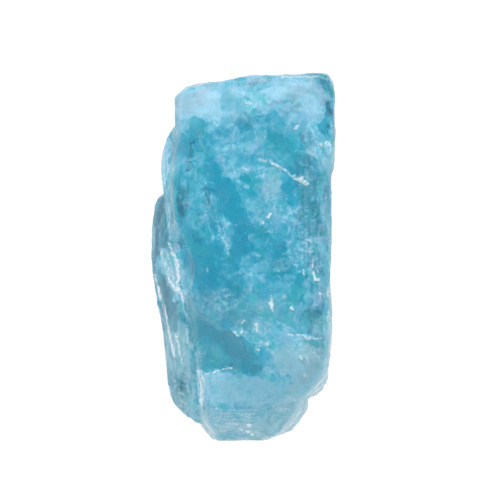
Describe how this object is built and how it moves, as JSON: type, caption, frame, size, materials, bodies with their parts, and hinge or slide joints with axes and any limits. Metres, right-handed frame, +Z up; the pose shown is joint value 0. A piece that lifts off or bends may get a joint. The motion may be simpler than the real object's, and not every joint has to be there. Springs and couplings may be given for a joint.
{
  "type": "rough apatite crystal",
  "caption": "Rough, broken prism of translucent blue apatite with chipped edges, lying on its flat back face.",
  "frame": {"origin": "under the middle of the stone's outline, in the plane of the flat back face that it rests on", "axes": "+Y along the crystal towards its broader end, +X across it away from the thin flake at its side, +Z up out of the broad front face"},
  "size_m": [0.0186, 0.0368, 0.0129],
  "materials": {
    "apatite": "vitreous, translucent and milky, with rough fracture surfaces"
  },
  "bodies": {
    "root": {"apatite_crystal": "apatite"}
  },
  "joints": []
}
